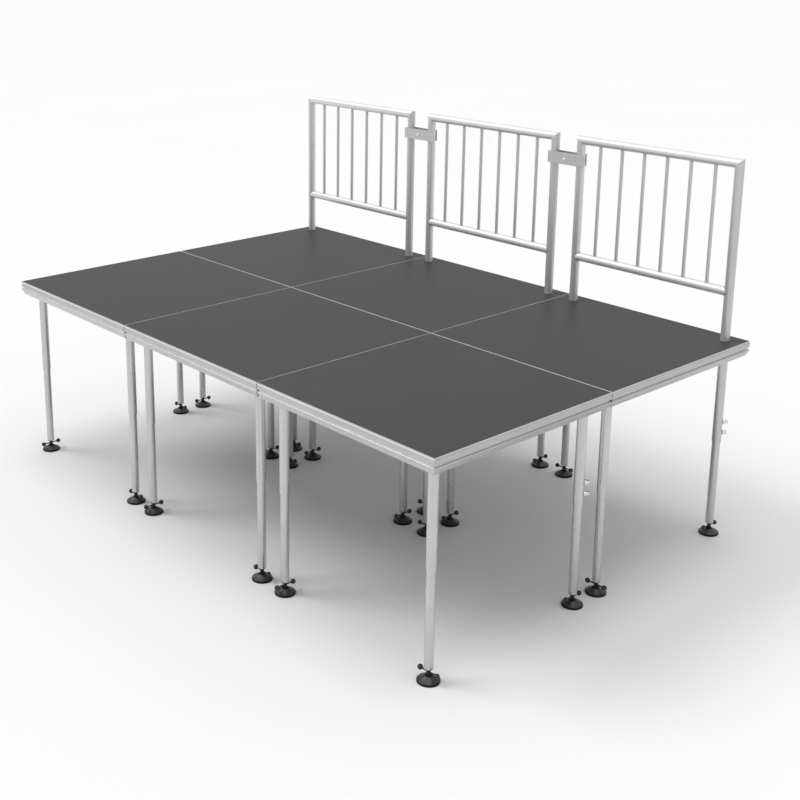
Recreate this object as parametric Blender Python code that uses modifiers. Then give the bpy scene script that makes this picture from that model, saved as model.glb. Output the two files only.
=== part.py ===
# Portable catwalk stage: six square decks, two rows of three, standing on telescopic legs,
# with three guardrails along the back edge that are clamped to one another.
# Metres. Up is +Z, the long side runs along X and the guardrails stand at +Y.
# The origin is on the floor, under the middle of the stage.

import math

import bmesh
import bpy
from mathutils import Matrix, Vector

# Deck grid
columns = ("left", "middle", "right")
rows = ("front", "back")
column_seams = ("left", "right")
module_side = 1.220
deck_gap = 0.0004
deck_height = 1.142

# Clearances
fit_clearance = 0.0003
weld_lap = 0.001
merge_distance = 0.00001

# Rim section, an extrusion that is open toward the inside of the deck
rim_height = 0.084
rim_wall = 0.003
rim_flange = 0.040
upper_face_height = 0.035
groove_mouth = 0.013
groove_floor = 0.006
groove_top_slope = 0.002
groove_depth = 0.009
lower_face_height = 0.005
rim_chamfer = 0.016

# Panel
panel_thickness = 0.021

# Gusset plates that tie the leg sockets to the rim
gusset_thickness = 0.006
gusset_margin = 0.009

# Cross brace under the panel
brace_width = 0.050
brace_wall = 0.003

# Link keys in the facing grooves of neighbouring rims
link_key_length = 0.300

# Legs
tube_sides = 12
leg_inset = 0.0955
tube_diameter = 0.0508
inner_tube_diameter = 0.04445
inner_tube_wall = 0.0025
leg_tube_overlap = 0.178
upper_tube_drop = 0.586
plug_bottom = 0.064
plug_height = 0.026

# Clamp screws in the upper leg tubes
screw_sides = 6
screw_diameter = 0.026
screw_reach = 0.026
lower_screw_rise = 0.055
screw_spacing = 0.061
screw_bearings = {
    ("back", "right"): 45,
    ("front", "right"): 135,
    ("front", "left"): 135,
    ("back", "left"): 45,
}

# Levelling feet
foot_diameter = 0.110
foot_rim_height = 0.009
foot_edge = 0.005
foot_edge_rise = 0.003
foot_cone_top = 0.034
spindle_diameter = 0.020
handle_sides = 6
handle_height = 0.047
handle_diameter = 0.007
ball_diameter = 0.027
ball_offset = 0.053

# Guardrails
top_rail_rise = 0.9727
lower_rail_rise = 0.2743
guardrail_tube_wall = 0.003
spigot_drop = 0.080
spigot_root = 0.012
baluster_count = 6
baluster_pitch = 0.150
baluster_diameter = 0.020
baluster_sides = 8

# Clamps between neighbouring guardrails
clamp_drop = 0.1198
clamp_plate_thickness = 0.005
clamp_plate_height = 0.070
front_plate_left_overhang = 0.0051
front_plate_right_overhang = 0.0201
back_plate_setback = 0.0059
bolt_sides = 10
bolt_head_sides = 6
bolt_diameter = 0.010
bolt_head_diameter = 0.017
bolt_head_height = 0.009
bolt_tail = 0.014
nut_diameter = 0.018
nut_height = 0.012
wing_span = 0.046
wing_root = 0.007
wing_tip = 0.016
wing_thickness = 0.004

# Sizes that follow from the ones above
deck_side = module_side - deck_gap
leg_offset = module_side / 2 - leg_inset
tube_radius = tube_diameter / 2
inner_tube_radius = inner_tube_diameter / 2
bore_radius = inner_tube_radius + fit_clearance
shelf_depth = panel_thickness + fit_clearance
gusset_start = rim_chamfer + 2 * rim_wall
gusset_end = leg_inset + tube_radius + gusset_margin
socket_top = shelf_depth + weld_lap
upper_tube_end = deck_height - upper_tube_drop
leg_top = upper_tube_end + leg_tube_overlap
plate_face = tube_radius + fit_clearance
clamp_rise = top_rail_rise - clamp_drop

# Faces that meet at less than this angle, in degrees, are shaded as one round surface
smooth_angle = 40


def clear_scene():
    for old in list(bpy.data.objects):
        bpy.data.objects.remove(old, do_unlink=True)


def make_collection(name):
    collection = bpy.data.collections.new(name)
    bpy.context.scene.collection.children.link(collection)
    return collection


def make_material(name, colour, roughness, metallic):
    material = bpy.data.materials.new(name)
    material.use_nodes = True
    shader = material.node_tree.nodes["Principled BSDF"]
    shader.inputs["Base Color"].default_value = (*colour, 1.0)
    shader.inputs["Roughness"].default_value = roughness
    shader.inputs["Metallic"].default_value = metallic
    return material


def make_blank(bm):
    bmesh.ops.recalc_face_normals(bm, faces=bm.faces[:])
    mesh = bpy.data.meshes.new("blank")
    bm.to_mesh(mesh)
    bm.free()
    blank = bpy.data.objects.new("blank", mesh)
    bpy.context.scene.collection.objects.link(blank)
    return blank


def box(low, high):
    low = Vector(low)
    high = Vector(high)
    size = high - low
    bm = bmesh.new()
    placement = Matrix.Translation((low + high) / 2) @ Matrix.Diagonal((*size, 1.0))
    bmesh.ops.create_cube(bm, size=1.0, matrix=placement)
    return make_blank(bm)


def rod(start, end, radius, sides, flat_side_out=False):
    # Facets start with a corner to the side, or with a flat there.
    start = Vector(start)
    end = Vector(end)
    run = end - start
    turn = run.to_track_quat("Z", "Y").to_matrix().to_4x4()
    if flat_side_out:
        turn = turn @ Matrix.Rotation(math.pi / sides, 4, "Z")
    bm = bmesh.new()
    bmesh.ops.create_cone(
        bm,
        cap_ends=True,
        segments=sides,
        radius1=radius,
        radius2=radius,
        depth=run.length,
        matrix=Matrix.Translation((start + end) / 2) @ turn,
    )
    return make_blank(bm)


def mitred_tube(path, radius, sides):
    # A round bar along straight runs that meet in mitres.
    path = [Vector(point) for point in path]
    runs = [(after - before).normalized() for before, after in zip(path, path[1:])]
    turn = runs[0].to_track_quat("Z", "Y").to_matrix().to_4x4()
    bm = bmesh.new()
    bmesh.ops.create_circle(
        bm,
        cap_ends=True,
        segments=sides,
        radius=radius,
        matrix=Matrix.Translation(path[0]) @ turn,
    )
    bm.faces.ensure_lookup_table()
    cap = bm.faces[0]
    for index, run in enumerate(runs):
        after = runs[min(index + 1, len(runs) - 1)]
        mitre = (run + after).normalized()
        cap = bmesh.ops.extrude_discrete_faces(bm, faces=[cap])["faces"][0]
        for vertex in cap.verts:
            distance = (path[index + 1] - vertex.co).dot(mitre) / run.dot(mitre)
            vertex.co += run * distance
    bmesh.ops.holes_fill(bm, edges=bm.edges[:], sides=sides)
    return make_blank(bm)


def settle(blank):
    # Turns an object with modifiers into a plain mesh.
    graph = bpy.context.evaluated_depsgraph_get()
    mesh = bpy.data.meshes.new_from_object(blank.evaluated_get(graph))
    plain = bpy.data.objects.new("blank", mesh)
    bpy.context.scene.collection.objects.link(plain)
    bpy.data.objects.remove(blank, do_unlink=True)
    return plain


def turned(profile, sides, closed=False):
    # The profile starts at its top and runs down the outer side.
    bm = bmesh.new()
    points = [bm.verts.new((radius, 0.0, height)) for radius, height in profile]
    for before, after in zip(points, points[1:]):
        bm.edges.new((before, after))
    if closed:
        bm.edges.new((points[-1], points[0]))
    mesh = bpy.data.meshes.new("profile")
    bm.to_mesh(mesh)
    bm.free()
    blank = bpy.data.objects.new("profile", mesh)
    bpy.context.scene.collection.objects.link(blank)
    screw = blank.modifiers.new("Turn", "SCREW")
    screw.axis = "Z"
    screw.steps = sides
    screw.render_steps = sides
    screw.use_merge_vertices = True
    screw.merge_threshold = merge_distance
    return settle(blank)


def flat_outline(points, thickness):
    # A closed outline in the XY plane, with its thickness centred on the plane.
    curve = bpy.data.curves.new("outline", "CURVE")
    curve.dimensions = "2D"
    curve.fill_mode = "BOTH"
    curve.extrude = thickness / 2
    spline = curve.splines.new("POLY")
    spline.points.add(len(points) - 1)
    for place, (x, y) in zip(spline.points, points):
        place.co = (x, y, 0.0, 1.0)
    spline.use_cyclic_u = True
    blank = bpy.data.objects.new("outline", curve)
    bpy.context.scene.collection.objects.link(blank)
    plain = settle(blank)
    bm = bmesh.new()
    bm.from_mesh(plain.data)
    bmesh.ops.remove_doubles(bm, verts=bm.verts[:], dist=merge_distance)
    bmesh.ops.recalc_face_normals(bm, faces=bm.faces[:])
    bm.to_mesh(plain.data)
    bm.free()
    return plain


def turn_mesh(blank, matrix):
    blank.data.transform(matrix)
    return blank


def combine(base, others, operation):
    for other in others:
        boolean = base.modifiers.new("Combine", "BOOLEAN")
        boolean.operation = operation
        boolean.solver = "EXACT"
        boolean.object = other
    result = settle(base)
    for other in others:
        bpy.data.objects.remove(other, do_unlink=True)
    return result


def weld(base, others):
    return combine(base, others, "UNION")


def cut(base, others):
    return combine(base, others, "DIFFERENCE")


def take_mesh(blank, material, round_piece=False):
    # Keeps the mesh of a finished blank, ready to be shared by every copy of the piece.
    mesh = blank.data
    mesh.materials.clear()
    mesh.materials.append(material)
    if round_piece:
        mesh.shade_smooth()
        mesh.set_sharp_from_angle(angle=math.radians(smooth_angle))
    bpy.data.objects.remove(blank, do_unlink=True)
    return mesh


def place(name, mesh, parent, location, turn=0.0):
    piece = bpy.data.objects.new(name, mesh)
    piece.parent = parent
    piece.location = location
    piece.rotation_euler = (0.0, 0.0, turn)
    stage.objects.link(piece)
    return piece


def place_empty(name, location):
    empty = bpy.data.objects.new(name, None)
    empty.empty_display_size = 0.1
    empty.location = location
    stage.objects.link(empty)
    return empty


def column_x(index):
    return (index - (len(columns) - 1) / 2) * module_side


def row_y(index):
    return (index - (len(rows) - 1) / 2) * module_side


def seam_x(index):
    return column_x(index) + module_side / 2


def rim_outline():
    # Outer side of the rim section, as distance in from the face and depth below the deck.
    groove_bottom = upper_face_height + groove_mouth
    return [
        Vector((0.0, 0.0)),
        Vector((0.0, upper_face_height)),
        Vector((groove_depth, upper_face_height + groove_top_slope)),
        Vector((groove_depth, upper_face_height + groove_top_slope + groove_floor)),
        Vector((0.0, groove_bottom)),
        Vector((0.0, groove_bottom + lower_face_height)),
        Vector((rim_chamfer, rim_height)),
        Vector((rim_flange, rim_height)),
    ]


def inner_side(path, wall):
    # The same path moved inward by the wall, with its corners mitred.
    runs = [(after - before).normalized() for before, after in zip(path, path[1:])]
    normals = [Vector((run.y, -run.x)) for run in runs]
    moved = [path[0] + normals[0] * wall]
    for index in range(1, len(path) - 1):
        before = normals[index - 1]
        after = normals[index]
        middle = (before + after).normalized()
        moved.append(path[index] + middle * (wall / middle.dot(before)))
    moved.append(path[-1] + normals[-1] * wall)
    return moved


def make_frame():
    outer = rim_outline()
    inner = inner_side(outer, rim_wall)
    shelf = [
        Vector((rim_wall, shelf_depth + rim_wall)),
        Vector((rim_flange, shelf_depth + rim_wall)),
        Vector((rim_flange, shelf_depth)),
        Vector((rim_wall, shelf_depth)),
    ]
    section = outer + inner[:0:-1] + shelf + inner[:1]
    # Four steps make a square ring whose corners lie on the diagonals.
    profile = [(math.sqrt(2) * (deck_side / 2 - point.x), -point.y) for point in section]
    rim = turned(profile, 4, closed=True)
    frame = turn_mesh(rim, Matrix.Rotation(math.radians(45), 4, "Z"))

    plates = []
    sockets = []
    bores = []
    screws = []
    sleeve_bottom = -upper_tube_drop
    near = module_side / 2 - gusset_end
    far = deck_side / 2 - gusset_start
    for (row, column), bearing in screw_bearings.items():
        side_x = 1 if column == "right" else -1
        side_y = 1 if row == "back" else -1
        centre = Vector((side_x * leg_offset, side_y * leg_offset, 0.0))
        span_x = sorted((side_x * near, side_x * far))
        span_y = sorted((side_y * near, side_y * far))
        plate_tops = (-socket_top, -rim_height + weld_lap + gusset_thickness)
        for top in plate_tops:
            low = (span_x[0], span_y[0], top - gusset_thickness)
            high = (span_x[1], span_y[1], top)
            plates.append(box(low, high))
        tube_start = centre + Vector((0.0, 0.0, -socket_top - gusset_thickness / 2))
        tube_end = centre + Vector((0.0, 0.0, sleeve_bottom))
        sockets.append(rod(tube_start, tube_end, tube_radius, tube_sides))
        bore_start = centre
        bore_end = tube_end - Vector((0.0, 0.0, weld_lap))
        bores.append(rod(bore_start, bore_end, bore_radius, tube_sides))
        angle = math.radians(bearing)
        outward = Vector((math.cos(angle), math.sin(angle), 0.0))
        for rise in (lower_screw_rise, lower_screw_rise + screw_spacing):
            height = Vector((0.0, 0.0, sleeve_bottom + rise))
            screw_start = centre + height + outward * (bore_radius + tube_radius) / 2
            screw_end = centre + height + outward * (tube_radius + screw_reach)
            screws.append(rod(screw_start, screw_end, screw_diameter / 2, screw_sides))

    frame = weld(frame, plates)
    frame = weld(frame, sockets)
    frame = cut(frame, bores)
    frame = weld(frame, screws)
    return take_mesh(frame, aluminium, round_piece=True)


def make_panel(with_holes):
    half = deck_side / 2 - rim_wall - fit_clearance
    panel = box((-half, -half, -panel_thickness), (half, half, 0.0))
    if with_holes:
        # Guardrail spigots go down through the back corners.
        holes = []
        for side in (-1, 1):
            centre = Vector((side * leg_offset, leg_offset, 0.0))
            above = centre + Vector((0.0, 0.0, weld_lap))
            below = centre - Vector((0.0, 0.0, panel_thickness + weld_lap))
            holes.append(rod(above, below, bore_radius, tube_sides))
        panel = cut(panel, holes)
    return take_mesh(panel, deck_board)


def make_brace():
    # A box tube between the rim flanges, with a raised strip that meets the panel.
    shelf_under = shelf_depth + rim_wall + fit_clearance
    flange_top = rim_height - rim_wall - fit_clearance
    half_width = brace_width / 2
    tube_half = deck_side / 2 - rim_chamfer - 2 * rim_wall
    strip_half = deck_side / 2 - rim_flange - fit_clearance
    brace = box(
        (-half_width, -tube_half, -flange_top),
        (half_width, tube_half, -shelf_under),
    )
    strip = box(
        (-half_width, -strip_half, -shelf_under - weld_lap),
        (half_width, strip_half, -shelf_depth),
    )
    hollow = box(
        (-half_width + brace_wall, -deck_side / 2, -flange_top + brace_wall),
        (half_width - brace_wall, deck_side / 2, -shelf_under - brace_wall),
    )
    brace = weld(brace, [strip])
    brace = cut(brace, [hollow])
    return take_mesh(brace, aluminium)


def make_link_key():
    # A six-sided bar that fills the two facing grooves; it lies along Y.
    floor_x = deck_gap / 2 + groove_depth - fit_clearance
    top = -upper_face_height - fit_clearance
    bottom = -upper_face_height - groove_mouth + fit_clearance
    floor_top = -upper_face_height - groove_top_slope - fit_clearance
    floor_bottom = floor_top - groove_floor + 2 * fit_clearance
    outline = [
        (0.0, top),
        (-floor_x, floor_top),
        (-floor_x, floor_bottom),
        (0.0, bottom),
        (floor_x, floor_bottom),
        (floor_x, floor_top),
    ]
    key = flat_outline(outline, link_key_length)
    key = turn_mesh(key, Matrix.Rotation(math.radians(90), 4, "X"))
    return take_mesh(key, steel)


def make_leg():
    # Inner tube, end plug, spindle and foot in one turned shape, with the handle across it.
    tube_bore = inner_tube_radius - inner_tube_wall
    profile = [
        (0.0, plug_bottom + plug_height),
        (tube_bore, plug_bottom + plug_height),
        (tube_bore, leg_top),
        (inner_tube_radius, leg_top),
        (inner_tube_radius, plug_bottom),
        (spindle_diameter / 2, plug_bottom),
        (spindle_diameter / 2, foot_cone_top),
        (foot_diameter / 2 - foot_edge, foot_rim_height + foot_edge_rise),
        (foot_diameter / 2, foot_rim_height),
        (foot_diameter / 2, 0.0),
        (0.0, 0.0),
    ]
    leg = turned(profile, tube_sides)
    ball = ball_diameter / 2
    latitude = math.radians(30)
    belt = ball * math.cos(latitude)
    belt_rise = ball * math.sin(latitude)
    neck = math.sqrt(ball ** 2 - (handle_diameter / 2) ** 2)
    half_handle = [
        (0.0, ball_offset + ball),
        (belt, ball_offset + belt_rise),
        (belt, ball_offset - belt_rise),
        (handle_diameter / 2, ball_offset - neck),
    ]
    other_half = [(radius, -height) for radius, height in reversed(half_handle)]
    handle = turned(half_handle + other_half, handle_sides)
    lay_along_x = Matrix.Rotation(math.radians(90), 4, "Y")
    lift = Matrix.Translation((0.0, 0.0, handle_height))
    handle = turn_mesh(handle, lift @ lay_along_x)
    leg = weld(leg, [handle])
    return take_mesh(leg, aluminium, round_piece=True)


def make_guardrail():
    # Origin on the deck surface, midway between the two posts.
    shoulder = fit_clearance
    loop = [
        (-leg_offset, 0.0, shoulder),
        (-leg_offset, 0.0, top_rail_rise),
        (leg_offset, 0.0, top_rail_rise),
        (leg_offset, 0.0, shoulder),
    ]
    rail = mitred_tube(loop, tube_radius, tube_sides)
    left_end = Vector((-leg_offset, 0.0, lower_rail_rise))
    right_end = Vector((leg_offset, 0.0, lower_rail_rise))
    additions = [rod(left_end, right_end, tube_radius, tube_sides, flat_side_out=True)]
    for index in range(baluster_count):
        x = (index - (baluster_count - 1) / 2) * baluster_pitch
        foot = Vector((x, 0.0, lower_rail_rise + tube_radius - guardrail_tube_wall / 2))
        head = Vector((x, 0.0, top_rail_rise - tube_radius + guardrail_tube_wall / 2))
        additions.append(rod(foot, head, baluster_diameter / 2, baluster_sides))
    for side in (-1, 1):
        spigot_end = Vector((side * leg_offset, 0.0, -spigot_drop))
        spigot_top = Vector((side * leg_offset, 0.0, shoulder + spigot_root))
        additions.append(rod(spigot_end, spigot_top, inner_tube_radius, tube_sides))
    rail = weld(rail, additions)

    # The tubes are hollow, and open at the lower ends of the spigots.
    hollow_radius = tube_radius - guardrail_tube_wall
    spigot_bore = inner_tube_radius - inner_tube_wall
    hollow_start = shoulder + spigot_root
    hollow = mitred_tube(
        [
            (-leg_offset, 0.0, hollow_start),
            (-leg_offset, 0.0, top_rail_rise),
            (leg_offset, 0.0, top_rail_rise),
            (leg_offset, 0.0, hollow_start),
        ],
        hollow_radius,
        tube_sides,
    )
    bores = [rod(left_end, right_end, hollow_radius, tube_sides, flat_side_out=True)]
    for side in (-1, 1):
        low = Vector((side * leg_offset, 0.0, -spigot_drop - weld_lap))
        high = Vector((side * leg_offset, 0.0, hollow_start + weld_lap))
        bores.append(rod(low, high, spigot_bore, tube_sides))
    hollow = weld(hollow, bores)
    rail = cut(rail, [hollow])
    return take_mesh(rail, aluminium, round_piece=True)


def make_clamp_plate(left_reach, right_reach, outer_face):
    # A flat bar across both posts, with a hole for the bolt on the seam.
    near = plate_face if outer_face > 0 else -plate_face
    far = near + outer_face * clamp_plate_thickness
    front, back = sorted((near, far))
    half_height = clamp_plate_height / 2
    plate = box((-left_reach, front, -half_height), (right_reach, back, half_height))
    hole = rod(
        (0.0, front - weld_lap, 0.0),
        (0.0, back + weld_lap, 0.0),
        bolt_diameter / 2 + fit_clearance,
        bolt_sides,
    )
    plate = cut(plate, [hole])
    return take_mesh(plate, aluminium)


def make_bolt():
    head_base = -plate_face - clamp_plate_thickness - fit_clearance
    tail = plate_face + clamp_plate_thickness + nut_height + bolt_tail
    head = rod(
        (0.0, head_base - bolt_head_height, 0.0),
        (0.0, head_base, 0.0),
        bolt_head_diameter / 2,
        bolt_head_sides,
    )
    shank = rod(
        (0.0, head_base - bolt_head_height / 2, 0.0),
        (0.0, tail, 0.0),
        bolt_diameter / 2,
        bolt_sides,
    )
    bolt = weld(head, [shank])
    return take_mesh(bolt, steel, round_piece=True)


def make_wing_nut():
    # The nut turns about Y; its two wings flare away from the plate.
    hub = rod((0.0, 0.0, 0.0), (0.0, nut_height, 0.0), nut_diameter / 2, tube_sides)
    outline = []
    for side in (-1, 1):
        wing = [
            (side * bolt_diameter / 2, weld_lap),
            (side * nut_diameter / 2, weld_lap),
            (side * wing_span / 2, nut_height - wing_root / 2),
            (side * wing_span / 2, wing_tip),
            (side * (wing_span / 2 - wing_root), wing_tip),
            (side * bolt_diameter / 2, wing_root),
        ]
        outline += wing if side > 0 else wing[::-1]
    wings = flat_outline(outline, wing_thickness)
    nut = weld(hub, [wings])
    bore = rod(
        (0.0, -weld_lap, 0.0),
        (0.0, wing_tip + weld_lap, 0.0),
        bolt_diameter / 2 + fit_clearance,
        bolt_sides,
    )
    nut = cut(nut, [bore])
    return take_mesh(nut, steel, round_piece=True)


def build_decks():
    frame_mesh = make_frame()
    brace_mesh = make_brace()
    leg_mesh = make_leg()
    plain_panel = make_panel(with_holes=False)
    drilled_panel = make_panel(with_holes=True)
    for row_index, row in enumerate(rows):
        for column_index, column in enumerate(columns):
            name = f"{row}_{column}_deck"
            centre = (column_x(column_index), row_y(row_index), deck_height)
            deck = place_empty(name, centre)
            at_centre = (0.0, 0.0, 0.0)
            place(f"{name}_frame", frame_mesh, deck, at_centre)
            panel_mesh = drilled_panel if row == rows[-1] else plain_panel
            place(f"{name}_panel", panel_mesh, deck, at_centre)
            place(f"{name}_brace", brace_mesh, deck, at_centre)
            for end, side in screw_bearings:
                x = leg_offset if side == "right" else -leg_offset
                y = leg_offset if end == "back" else -leg_offset
                handle_along_x = (end, side) in (("front", "right"), ("back", "left"))
                turn = 0.0 if handle_along_x else math.radians(90)
                leg_name = f"{name}_leg_{end}_{side}"
                place(leg_name, leg_mesh, deck, (x, y, -deck_height), turn)


def build_link_keys():
    key_mesh = make_link_key()
    on_seam = (0.0, 0.0, 0.0)
    quarter = math.radians(90)
    for row_index, row in enumerate(rows):
        for index, side in enumerate(column_seams):
            seam = place_empty(f"{row}_{side}_seam", (seam_x(index), row_y(row_index), deck_height))
            place(f"{row}_row_{side}_link_key", key_mesh, seam, on_seam)
    for index, column in enumerate(columns):
        seam = place_empty(f"{column}_seam", (column_x(index), 0.0, deck_height))
        place(f"{column}_column_link_key", key_mesh, seam, on_seam, quarter)


def build_guardrails():
    guardrail_mesh = make_guardrail()
    guardrail_y = row_y(len(rows) - 1) + leg_offset
    for index, column in enumerate(columns):
        foot = place_empty(f"{column}_sockets", (column_x(index), guardrail_y, deck_height))
        place(f"{column}_guardrail", guardrail_mesh, foot, (0.0, 0.0, 0.0))

    post_edge = leg_inset + tube_radius
    front_plate = make_clamp_plate(
        post_edge + front_plate_left_overhang,
        post_edge + front_plate_right_overhang,
        -1,
    )
    back_reach = post_edge - back_plate_setback
    back_plate = make_clamp_plate(back_reach, back_reach, 1)
    bolt_mesh = make_bolt()
    nut_mesh = make_wing_nut()
    nut_seat = plate_face + clamp_plate_thickness + fit_clearance
    here = (0.0, 0.0, 0.0)
    for index, side in enumerate(column_seams):
        seam = place_empty(f"{side}_clamp", (seam_x(index), guardrail_y, deck_height + clamp_rise))
        place(f"{side}_clamp_front_plate", front_plate, seam, here)
        place(f"{side}_clamp_back_plate", back_plate, seam, here)
        place(f"{side}_clamp_bolt", bolt_mesh, seam, here)
        place(f"{side}_clamp_wing_nut", nut_mesh, seam, (0.0, nut_seat, 0.0))


clear_scene()
stage = make_collection("portable_catwalk_stage")
aluminium = make_material("aluminium", (0.62, 0.63, 0.64), 0.38, 1.0)
deck_board = make_material("deck_board", (0.075, 0.077, 0.080), 0.55, 0.0)
steel = make_material("zinc_plated_steel", (0.55, 0.56, 0.57), 0.35, 1.0)
build_decks()
build_link_keys()
build_guardrails()
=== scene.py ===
import math

import bmesh
import bpy
from mathutils import Matrix, Vector


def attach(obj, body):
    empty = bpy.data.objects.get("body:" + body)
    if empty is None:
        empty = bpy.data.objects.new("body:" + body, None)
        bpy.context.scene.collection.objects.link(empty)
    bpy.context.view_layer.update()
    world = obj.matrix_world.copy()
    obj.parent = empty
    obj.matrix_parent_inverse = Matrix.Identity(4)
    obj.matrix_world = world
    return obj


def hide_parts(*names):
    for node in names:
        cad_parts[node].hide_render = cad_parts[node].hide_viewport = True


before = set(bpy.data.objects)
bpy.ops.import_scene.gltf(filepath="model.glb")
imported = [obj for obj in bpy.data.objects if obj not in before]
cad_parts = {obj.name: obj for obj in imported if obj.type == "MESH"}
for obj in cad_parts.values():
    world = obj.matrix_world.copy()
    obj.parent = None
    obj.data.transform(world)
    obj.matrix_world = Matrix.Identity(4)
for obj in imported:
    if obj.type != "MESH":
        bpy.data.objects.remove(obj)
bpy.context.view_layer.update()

# Sizes of the stage, in metres
COLUMNS = ("left", "middle", "right")
ROWS = ("front", "back")
MODULE = 1.220
OUTER_SIDE = {"X": MODULE * 1.5, "Y": MODULE}
OUTER_FADE_START = 0.024
OUTER_FADE_END = 0.018
DECK_SIDE = 1.2196
DECK_TOP = 1.142
LEG_OFFSET = 0.5145
RAIL_Y = MODULE / 2 + LEG_OFFSET
TUBE = 0.0254
TUBE_BORE = 0.0226
INNER_TUBE = 0.022225
INNER_BORE = 0.0197
UPPER_TUBE_TOP = -0.0253
UPPER_TUBE_END = -0.586
GUSSET_TOPS = (-0.0223, -0.0770)
GUSSET_THICKNESS = 0.006
GUSSET_REACH = 0.0347
GUSSET_RIM_GAP = 0.022
SOCKET_WELDS = (-0.0284, -0.0769, -0.0831)
SCREW_RISES = (0.055, 0.116)
SCREW_BOSS = 0.0130
LEG_TOP = 0.734
PLUG_BOTTOM = 0.064
PLUG_FLANGE = 0.0026
PLUG_RIB = 0.0195
HANDLE_HEIGHT = 0.047
HANDLE_RADIUS = 0.0035
HANDLE_HALF = 0.0450
BALL = 0.0135
BALL_OFFSET = 0.053
TOP_RAIL = 0.9727
LOWER_RAIL = 0.2743
BALUSTERS = 6
BALUSTER = 0.0100
BALUSTER_SPACING = 0.150
SPIGOT_LENGTH = 0.0800
CLAMP_RISE = 0.8529
PLATE_FACE = 0.0257
PLATE_THICKNESS = 0.005
PLATE_HEIGHT = 0.070
PLATE_OUTSIDE = 0.0310
FRONT_PLATE_LEFT = 0.1260
FRONT_PLATE_RIGHT = 0.1410
BACK_PLATE_HALF = 0.1150
WING_THICKNESS = 0.0036
SCREW_BEARINGS = {
    ("front", "left"): 135,
    ("front", "right"): 135,
    ("back", "left"): 45,
    ("back", "right"): 45,
}


# Finishes

class Amount:
    """A number that changes over a surface."""

    def __init__(self, finish, socket):
        self.finish = finish
        self.socket = socket

    def _math(self, operation, first, second):
        return self.finish.node("ShaderNodeMath", {"operation": operation}, {0: first, 1: second})

    def __add__(self, other):
        return self._math("ADD", self, other)

    def __radd__(self, other):
        return self._math("ADD", other, self)

    def __sub__(self, other):
        return self._math("SUBTRACT", self, other)

    def __rsub__(self, other):
        return self._math("SUBTRACT", other, self)

    def __mul__(self, other):
        return self._math("MULTIPLY", self, other)

    def __rmul__(self, other):
        return self._math("MULTIPLY", other, self)


class Finish:
    """One procedural material."""

    def __init__(self, name, metallic=0.0, specular=0.5):
        self.material = bpy.data.materials.new(name)
        self.material.use_nodes = True
        self.tree = self.material.node_tree
        self.shader = self.tree.nodes["Principled BSDF"]
        self.shader.inputs["Metallic"].default_value = metallic
        self.shader.inputs["Specular IOR Level"].default_value = specular
        self.place = self.node("ShaderNodeTexCoord", output="Object")

    def node(self, kind, settings=None, values=None, output=0):
        made = self.tree.nodes.new(kind)
        for key, value in (settings or {}).items():
            setattr(made, key, value)
        for key, value in (values or {}).items():
            if isinstance(value, Amount):
                self.tree.links.new(value.socket, made.inputs[key])
            else:
                made.inputs[key].default_value = value
        return Amount(self, made.outputs[output])

    def stretched(self, scale):
        return self.node("ShaderNodeMapping", values={"Vector": self.place, "Scale": scale})

    def noise(self, scale, detail=3.0, roughness=0.5, where=None):
        values = {
            "Vector": where or self.place,
            "Scale": scale,
            "Detail": detail,
            "Roughness": roughness,
        }
        return self.node("ShaderNodeTexNoise", values=values)

    def band(self, amount, low, high):
        """0 below low, 1 above high."""
        values = {"Value": amount, "From Min": low, "From Max": high}
        return self.node("ShaderNodeMapRange", {"clamp": True}, values)

    def outer(self, axis):
        """1 along the stage's two outer sides across an axis, 0 everywhere further in."""
        side = OUTER_SIDE[axis]
        part = self.node("ShaderNodeSeparateXYZ", values={"Vector": self.place}, output="XYZ".index(axis))
        distance = self.node("ShaderNodeMath", {"operation": "ABSOLUTE"}, {0: part})
        return self.band(distance, side - OUTER_FADE_START, side - OUTER_FADE_END)

    def mix(self, mask, first, second):
        values = {"Factor": mask}
        made = self.node("ShaderNodeMix", {"data_type": "RGBA"}, values, output=2)
        mixer = made.socket.node
        for slot, colour in ((6, first), (7, second)):
            if isinstance(colour, Amount):
                self.tree.links.new(colour.socket, mixer.inputs[slot])
            else:
                mixer.inputs[slot].default_value = (*colour, 1.0)
        return made

    def bump(self, height, distance, strength=1.0, over=None):
        values = {"Height": height, "Distance": distance, "Strength": strength}
        if over is not None:
            values["Normal"] = over
        return self.node("ShaderNodeBump", values=values)

    def use(self, **sockets):
        for name, value in sockets.items():
            target = self.shader.inputs[name.replace("_", " ").title()]
            if isinstance(value, Amount):
                self.tree.links.new(value.socket, target)
            elif isinstance(value, tuple):
                target.default_value = (*value, 1.0)
            else:
                target.default_value = value
        return self.material


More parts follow.
